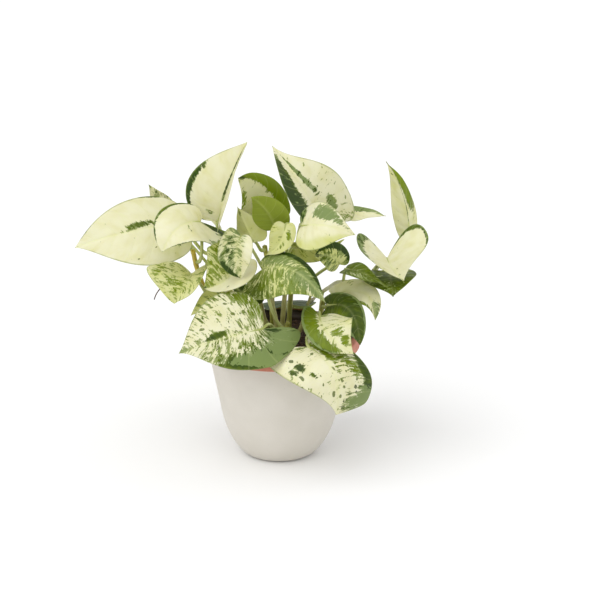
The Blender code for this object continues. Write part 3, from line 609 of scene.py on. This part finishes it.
addLeaf("leaf_right_round", {
    "base": (51, -16, 173), "mid": (43, -24, 183), "tip": (30, -22, 182), "face": (.1, -.9, .4),
    "wide": (12, 13), "lobes": (.1, .2), "point": (.25, .25), "grows": ("vine_middle_back", .45),
    "via": (42, 8, 170), "green": .4, "lime": .7, "bright": .4, "depth": .5, "patches": [
        (.55, .85, .35, .3, .6, 0, 1), (.9, 0, .1, .6, .3, 0, .9), (.4, -.6, .3, .4, .1, .2, .4)]})
addLeaf("leaf_right_edge", {
    "base": (56, -8, 167), "mid": (70, -16, 166), "tip": (92, -16, 153), "face": (0, -.4, .9),
    "wide": (10, 10), "grows": ("vine_right", .5), "via": (56, 12, 160), "green": .65, "bright": .5,
    "lime": .4, "rib": .3, "depth": .6})
addLeaf("leaf_right_pale", {
    "base": (46, 0, 142), "mid": (73, -12, 146), "tip": (81, -20, 125), "face": (.2, -.6, .75),
    "wide": (12, 14), "fold": (5, -5), "curl": (0, -30), "point": (.3, .6),
    "grows": ("vine_front_right", .97), "via": (42, -3, 143), "green": .14, "lime": .25, "patches": [
        (.85, -.3, .16, .8, .45, 0, .2), (.5, .9, .3, .2, .6, .8), (.25, .8, .2, .3, .4)]})
addLeaf("leaf_right_heart", {
    "base": (92, 14, 170), "mid": (97, -6, 164), "tip": (104, -30, 164), "face": (0, -.45, .9),
    "wide": (40, 30), "lobes": (.6, .6), "fold": (28, 32), "curl": (0, 5), "point": (.85, .85),
    "grows": ("vine_right", .92), "via": (88, 24, 164), "speck": .4, "bright": .5, "patches": [
        (.12, -.97, .14, .14, 1, .3), (.36, -1, .12, .08, .8, 0), (.3, .95, .26, .22, .55, .2, .4),
        (.8, -.1, .1, .3, .25, .6)]})
addLeaf("leaf_right_dark", {
    "base": (95, 20, 156), "mid": (95, -4, 155), "tip": (96, -20, 146), "face": (0, -.25, .95),
    "wide": (22, 28), "fold": (6, 3), "grows": ("vine_right", .85), "via": (88, 20, 158), "green": .7,
    "bright": .45, "lime": .4, "depth": .8, "rib": .3})
addLeaf("leaf_right_upright", {
    "base": (112, 40, 182), "mid": (106, 36, 219), "tip": (91, 36, 249), "face": (-.4, -.9, .1),
    "wide": (13, 12), "fold": (5, -72), "grows": ("vine_right", .97), "via": (104, 38, 168), "green": .06,
    "lime": .3, "rib": .3, "patches": [(.65, .7, .24, .5, 1, .9, 1), (.93, 0, .08, .8, .8, .2),
        (.6, .05, .3, .04, .5, 0), (.2, 0, .2, .6, .15, .8)]})
addLeaf("leaf_right_thin", {
    "base": (57, 40, 201), "mid": (73, 42, 202), "tip": (92, 40, 200), "face": (0, -.5, .9),
    "wide": (9, 9), "fold": (0, 0), "grows": ("vine_middle_back", .85), "via": (38, 34, 188), "green": .1,
    "patches": [(.6, -.7, .6, .5, .6, 0, .2), (.92, 0, .1, .9, .5, 0, .2)]})
addLeaf("leaf_left_low", {
    "base": (-45, -30, 147), "mid": (-58, -38, 147), "tip": (-73, -40, 136), "face": (-.1, -.8, .6),
    "wide": (11, 11), "lobes": (.12, .12), "grows": ("vine_left", .25), "via": (-42, -22, 142),
    "green": .3, "lime": .7, "bright": .5})
# This leaf deep inside the plant is painted dark green (green .8). The colour is partly the leaf's own green
# and partly painted shade for the deep shadow among the inner stems.
addLeaf("leaf_inner_dark", {
    "base": (-20, -20, 139), "mid": (-28, -22, 149), "tip": (-40, -20, 155), "face": (0, -.9, .4),
    "wide": (11, 11), "lobes": (.12, .12), "grows": ("vine_middle", .12), "via": (-12, -6, 128),
    "green": .8})
addLeaf("leaf_left_tip", {
    "base": (-92, 24, 207), "mid": (-102, 22, 220), "tip": (-110, 20, 233), "face": (-.1, -.95, .3),
    "wide": (8, 8), "lobes": (.12, .12), "grows": ("vine_left_back", .95), "via": (-78, 18, 194),
    "green": .3, "patches": [(.95, 0, .12, .8, .6, 0)]})
addLeaf("leaf_back_low_left", {
    "base": (-28, 44, 130), "mid": (-46, 60, 128), "tip": (-60, 74, 108), "face": (-.4, .75, .55),
    "wide": (26, 26), "lobes": (.25, .25), "curl": (-15, -15), "grows": ("vine_left_back", .25),
    "via": (-28, 34, 130), "green": .2, "speck": .6, "patches": [(.45, .8, .2, .3, .4),
        (.3, -.5, .15, .4, .3)]})
addLeaf("leaf_back_low_right", {
    "base": (38, 34, 134), "mid": (58, 52, 132), "tip": (74, 66, 112), "face": (.4, .75, .55),
    "wide": (26, 26), "lobes": (.25, .25), "curl": (-15, -15), "grows": ("vine_right", .18),
    "via": (36, 22, 130), "green": .1, "speck": .4, "patches": [(.4, -.85, .25, .25, .7, 0),
        (.6, .2, .1, .15, .5)]})
# Painted shade: this leaf is painted dark green (green .95, depth .9). It fills the gap above the pot's far
# lip with the dark of the shade among the stems there.
addLeaf("leaf_back_drape", {
    "base": (8, 58, 115), "mid": (9, 82, 106), "tip": (8, 89, 78), "face": (0, .85, .5),
    "lobes": (.25, .25), "curl": (-20, -20), "grows": ("vine_middle_back", .12), "via": (7, 42, 124),
    "green": .95, "depth": .9, "rib": .3, "patches": [(.6, .5, .2, .4, -.2)]})
addLeaf("leaf_back_middle", {
    "base": (24, 44, 172), "mid": (32, 66, 168), "tip": (34, 84, 148), "face": (.2, .75, .6),
    "lobes": (.25, .25), "curl": (-15, -15), "grows": ("vine_middle_back", .5), "via": (18, 36, 160),
    "speck": .6, "patches": [(.5, .9, .25, .2, .8, 0), (.35, -.4, .08, .3, .45)]})
addLeaf("leaf_back_upper_left", {
    "base": (-54, 32, 200), "mid": (-66, 44, 210), "tip": (-80, 50, 214), "face": (-.3, .7, .65),
    "lobes": (.2, .2), "curl": (-15, -15), "grows": ("vine_left_back", .8), "via": (-50, 28, 184),
    "green": .15, "lime": .3, "patches": [(.5, -.5, .2, .3, .3)]})
addLeaf("leaf_back_upper_right", {
    "base": (30, 34, 200), "mid": (44, 50, 212), "tip": (62, 58, 214), "face": (.3, .7, .65),
    "lobes": (.2, .2), "curl": (-15, -15), "grows": ("vine_middle_back", .97), "via": (22, 30, 190),
    "green": .05, "speck": .3, "patches": [(.4, -.95, .3, .15, .9, 0), (.55, .3, .1, .2, .5)]})
addLeaf("leaf_back_left", {
    "base": (-88, 42, 184), "mid": (-108, 50, 184), "tip": (-130, 56, 172), "face": (-.3, .8, .5),
    "lobes": (.2, .2), "curl": (-15, -15), "grows": ("vine_left_back", .6), "via": (-72, 38, 174),
    "green": .12, "speck": .5, "patches": [(.5, .6, .15, .3, .4)]})
print("leaves made:", leafCount)

# A vine: a tube that swells at every node and tapers toward its end.
vine = {"foot": 9, "radius": 2.6, "nodes": 15, "swell": .1, "taper": .15, "slim": .9, "sharp": 8,
        "count": 60, "sides": 20}
for name, (foot, bend, end) in vines.items():
    path = np.vstack([[(*foot, soilTop - vine["foot"])], vinePath(name, vine["count"])])
    length = np.concatenate([[0], np.cumsum(np.linalg.norm(np.diff(path, axis=0), axis=1))])
    ring = (.5 + .5 * np.cos(2 * np.pi * length / vine["nodes"])) ** vine["sharp"]
    radii = vine["radius"] * (1 - vine["taper"] * np.linspace(0, 1, len(path)))
    radii = radii * (vine["slim"] + vine["swell"] * ring)
    material = ripeSkin if name == "vine_left" else vineSkin
    addPiece(name, [tube(path, radii, vine["sides"])], [material], [name])

# Aerial roots: thin dark tubes that leave the left vine and hang free.
root = {"inside": 1.5, "start": 2.9, "rise": 4, "count": 30, "thick": .85, "thin": .45, "sides": 10}
roots = {"root_left": (("vine_left", .75), (-98, -20, 166), (-104, -24, 145)),
         "root_left_low": (("vine_left", .45), (-58, -18, 140), (-64, -20, 132))}
for name, (grows, bend, end) in roots.items():
    bud, out = budOn(*grows, bend)
    start = bud + out * root["start"]
    path = np.vstack([[bud + out * root["inside"]],
                      bezier([start, start + out * root["rise"], bend, end], root["count"])])
    radii = np.linspace(root["thick"], root["thin"], len(path))
    addPiece(name, [tube(path, radii, root["sides"])], [rootSkin], [name])

# Short young shoots: tapered stalks from the potting mix up into the leaves.
shoot = {"foot": 4, "clear": 1, "count": 40, "taper": .7, "sides": 16}
shoots = {
    "shoot_front": ((0, -14), (-2, -22, 130), (-8, -26, 150), 2.5),
    "shoot_middle": ((-8, -10), (-14, -16, 135), (-20, -20, 165), 2.0),
    "shoot_right": ((12, -20), (18, -28, 122), (26, -34, 138), 2.0),
    "shoot_low": ((14, -12), (22, -18, 130), (30, -20, 158), 1.5),
    "shoot_inner": ((2, -4), (4, -8, 140), (8, -10, 172), 2.4),
    "shoot_left": ((-14, -6), (-20, -12, 130), (-30, -16, 160), 1.6),
}
for name, (foot, bend, end, radius) in shoots.items():
    path = np.vstack([[(*foot, soilTop - shoot["foot"])],
                      bezier([(*foot, soilTop - shoot["clear"]), bend, end], shoot["count"])])
    radii = radius * np.linspace(1, shoot["taper"], len(path))
    addPiece(name, [tube(path, radii, shoot["sides"])], [shootSkin])
print("vines, shoots and roots made")


# The cover pot: a rounded bowl profile, out and up, over the rim and down the inside.
coverPot = {"rim": 62, "height": 100, "wall": 4, "floor": 5, "foot": 28}
bellyR, bellyZ = 51, 45
bowl = bezier([(coverPot["foot"] + 1, 0), (42, 9), (49, 30), (bellyR, bellyZ)], 36)
rimR, high, wall = coverPot["rim"], coverPot["height"], coverPot["wall"]
sides = np.linspace(0, 1, 24)[1:, None] * (rimR - bellyR, high - bellyZ) + (bellyR, bellyZ)
outside = np.vstack([bowl, sides])
inside = outside[::-1] - (wall, 0)
inside = inside[inside[:, 1] > coverPot["floor"] + 4]
lip = bezier([outside[-1] - (.05, .8), outside[-1] - (.1, 0), outside[-1] - (wall, 0) + (.1, 0),
              inside[0] - (-.05, .8)], 12)
footR, floorZ = coverPot["foot"], coverPot["floor"]
footEdge = bezier([(footR - 2, 0), bowl[0], bowl[3]], 8)
floorEdge = bezier([inside[-1], (footR + 3, floorZ), (footR - 6, floorZ)], 8)
profile = np.vstack([[(0, 0)], [(footR - 3, 0)], footEdge, outside[4:-1], lip, inside[1:], floorEdge[1:],
                     [(0, floorZ)]])
potFinish = Finish("matteCeramic", Roughness=.55, Specular_IOR_Level=.4)
mottle = potFinish.noise(potFinish.object(), 18, 3.0, .6)
speckle = potFinish.noise(potFinish.object(), 900, 2.0, .6)
potFinish.bump(potFinish.sum(potFinish.scaled(mottle, 3.0), speckle), .12, .0003)
potTint = potFinish.mix(potFinish.step(mottle, .3, .7), colour(216, 211, 201), colour(209, 204, 193))
speckShare = potFinish.scaled(potFinish.step(speckle, .62, .72), .25)
potTint = potFinish.mix(speckShare, potTint, colour(190, 184, 170))
potFinish.paint(potTint, potFinish.scaled(mottle, .12, .5))
addPiece("cover_pot_body", [turned(profile)], [potFinish.material], ["cover_pot"])

# The nursery pot: a thin tapered wall with a wide rim turned down over the cover pot.
growPot = {"lip": 69, "lipTop": 108, "lipLow": 97, "wall": 1.8, "neck": 56.5, "neckZ": 96,
           "foot": 40, "footZ": 26, "corner": 1.2}
lipR, lipTop, neck, thin = growPot["lip"], growPot["lipTop"], growPot["neck"], growPot["wall"]
footR, footZ, lipLow, neckZ = growPot["foot"], growPot["footZ"], growPot["lipLow"], growPot["neckZ"]
shell = rounded([
    (0, footZ), (footR, footZ), (neck, neckZ), (neck, 100.6), (lipR - thin - .6, 103), (lipR - thin, lipLow),
    (lipR, lipLow), (lipR, lipTop - 1.6), (lipR - 3, lipTop), (neck + 3, lipTop), (neck - thin, lipTop - 4),
    (neck - thin, neckZ), (footR - thin, footZ + thin), (0, footZ + thin)], growPot["corner"])
clay = Finish("terracottaPlastic", Roughness=.6)
clayNoise = clay.noise(clay.object(), 60, 4.0, .6)
clay.bump(clayNoise, .2, .0004)
clayColour = clay.mix(clay.step(clayNoise, .3, .7), colour(200, 128, 104), colour(184, 106, 82))
# Painted shade: every surface nearer the axis than about the neck is painted dark brown for the shade inside
# the pot. A ragged edge reaches onto the inner part of the rim's top.
outward = clay.put("ShaderNodeVectorMath", {0: clay.object((1, 1, 0))}, operation="LENGTH").outputs[1]
shadeEdgeNoise = clay.noise(clay.object(), 160, 4.0, .7)
paintedShade = clay.step(clay.sum(clay.scaled(outward, -1), clay.scaled(shadeEdgeNoise, .014, .0565)), -.002, .002)
clay.paint(clay.mix(paintedShade, clayColour, colour(52, 38, 28)), clay.scaled(clayNoise, .2, .5))
growPotBody = addPiece("grow_pot_body", [turned(shell)], [clay.material], ["grow_pot"])

# Drain holes: evenly spaced on a ring and cut through the floor.
drain = {"radius": 3.5, "ring": 26, "depth": 8, "count": 4, "sides": 24, "edge": 40}
cutters = []
for index in range(drain["count"]):
    angle = (index + .5) * 2 * math.pi / drain["count"]
    place = [v * toMetres for v in (drain["ring"] * math.cos(angle), drain["ring"] * math.sin(angle), footZ)]
    bpy.ops.mesh.primitive_cylinder_add(vertices=drain["sides"], radius=drain["radius"] * toMetres,
                                        depth=drain["depth"] * toMetres, location=place)
    cutters.append(bpy.context.object)
    cut = growPotBody.modifiers.new("drain", "BOOLEAN")
    cut.object, cut.operation, cut.solver = cutters[-1], "DIFFERENCE", "EXACT"
graph = bpy.context.evaluated_depsgraph_get()
drilled = bpy.data.meshes.new_from_object(growPotBody.evaluated_get(graph),
                                          preserve_all_data_layers=True, depsgraph=graph)
growPotBody.modifiers.clear()
growPotBody.data = drilled
drilled.set_sharp_from_angle(angle=math.radians(drain["edge"]))
for cutter in cutters:
    bpy.data.objects.remove(cutter)

# Potting mix: a disc whose top is the sum of three waves of sine and cosine, in x, y and both, on its level.
soil = {"radius": 54.0, "low": 30, "lowRadius": 38, "crumbs": 520, "sink": 1.3, "sides": 144}
rng = np.random.default_rng(4)
ringR = np.linspace(1, 0, 26)
turn = np.linspace(0, 2 * np.pi, soil["sides"], endpoint=False)
topR = (ringR * (soil["radius"] - 1.2))[:, None]
x, y = topR * np.cos(turn), topR * np.sin(turn)
height = (soilTop - soil["sink"] + .5 * np.sin(x * .41 + 1) * np.cos(y * .37)
          + .35 * np.sin(x * .9 + y * .7) + .25 * np.cos(y * 1.3))
topGrid = np.stack([x, y, height + 0 * x], -1)
sideRows = np.array([(0, soil["low"]), (soil["lowRadius"], soil["low"]), (soil["radius"] - .5, 96)])
sideGrid = np.stack([sideRows[:, :1] * np.cos(turn), sideRows[:, :1] * np.sin(turn),
                     np.repeat(sideRows[:, 1:], soil["sides"], axis=1)], -1)
topGrid[-1] = topGrid[-1].mean(0)
earth = Finish("pottingMix", Roughness=.95)
earthNoise = earth.noise(earth.object(), 420, 5.0, .7)
earth.bump(earthNoise, .8, .002)
earth.paint(earth.mix(earth.step(earthNoise, .35, .65), colour(38, 27, 20), colour(74, 55, 41)))
bark = Finish("barkCrumbs", Roughness=.85)
barkNoise = bark.noise(bark.object(), 300, 3.0, .6)
bark.bump(barkNoise, .5, .001)
bark.paint(bark.mix(bark.step(barkNoise, .3, .7), colour(92, 64, 44), colour(50, 35, 25)))
addPiece("soil_bed", [skin(np.concatenate([sideGrid, topGrid]))], [earth.material], ["soil"])


# Crumbs of bark: every one is a small ball of four bands and six sides, stretched and roughened at random.
def crumbSkin(count):
    lat = np.linspace(-np.pi / 2, np.pi / 2, 5)[:, None]
    lon = np.linspace(0, 2 * np.pi, 6, endpoint=False)[None, :]
    ball = np.stack([np.cos(lat) * np.cos(lon), np.cos(lat) * np.sin(lon), np.sin(lat) + 0 * lon], -1)
    pieces = []
    for _ in range(count):
        size = rng.uniform(.8, 2.4) * np.array([1, rng.uniform(.5, 1), rng.uniform(.35, .7)])
        rough = 1 + rng.uniform(-.22, .22, ball.shape[:2])[..., None]
        rough[0], rough[-1] = 1, 1
        a, r = rng.uniform(0, 2 * np.pi), (soil["radius"] - 4) * rng.uniform() ** .5
        shaped = ball * rough * size
        spun = np.stack([shaped[..., 0] * np.cos(a) - shaped[..., 1] * np.sin(a),
                         shaped[..., 0] * np.sin(a) + shaped[..., 1] * np.cos(a), shaped[..., 2]], -1)
        pieces.append(skin(spun + (r * np.cos(3 * a), r * np.sin(3 * a), soilTop - .9)))
    return pieces


addPiece("soil_crumbs", crumbSkin(soil["crumbs"]), [bark.material])
print("pots and potting mix made")


# Floor, light and camera.
stage = {"floor": 40, "camera": 1.5, "down": 18, "aim": (.01785, 0, .1368), "sensor": 36,
         "lens": 36 * 1.5 / .51, "world": .72}
floorMesh = bpy.data.meshes.new("floor")
half = stage["floor"] / 2
floorMesh.from_pydata([(-half, -half, 0), (half, -half, 0), (half, half, 0), (-half, half, 0)], [],
                      [(0, 1, 2, 3)])
floor = link(bpy.data.objects.new("floor", floorMesh))
paper = Finish("palePaper", Roughness=.8)
paper.paint(paper.mix(paper.noise(paper.object(), 2, 2.0), colour(250, 250, 250), colour(246, 246, 246)))
floorMesh.materials.append(paper.material)

world = bpy.data.worlds.new("studio")
bpy.context.scene.world = world
world.use_nodes = True
sky = world.node_tree.nodes["Background"].inputs
sky[0].default_value = (1, 1, 1, 1)
sky[1].default_value = stage["world"]


def addLight(name, place, softness, power):
    lamp = bpy.data.lights.new(name, "SUN")
    lamp.angle, lamp.energy = math.radians(softness), power
    obj = link(bpy.data.objects.new(name, lamp))
    x, y, z = place
    obj.location = place
    obj.rotation_euler = (math.atan2(math.hypot(x, y), z), 0, math.atan2(x, -y))


addLight("keyLight", (-1.1, -1.1, 2.2), 60, 1.35)
addLight("fillLight", (1.2, -.6, 1.6), 90, .4)

down = math.radians(stage["down"])
lens = bpy.data.cameras.new("camera")
lens.lens, lens.sensor_width = stage["lens"], stage["sensor"]
camera = link(bpy.data.objects.new("camera", lens))
aimX, aimY, aimZ = stage["aim"]
camera.location = (aimX, aimY - stage["camera"] * math.cos(down), aimZ + stage["camera"] * math.sin(down))
camera.rotation_euler = (math.pi / 2 - down, 0, 0)
bpy.context.scene.camera = camera
bpy.context.scene.view_settings.view_transform = "Standard"

print("camera and light set")
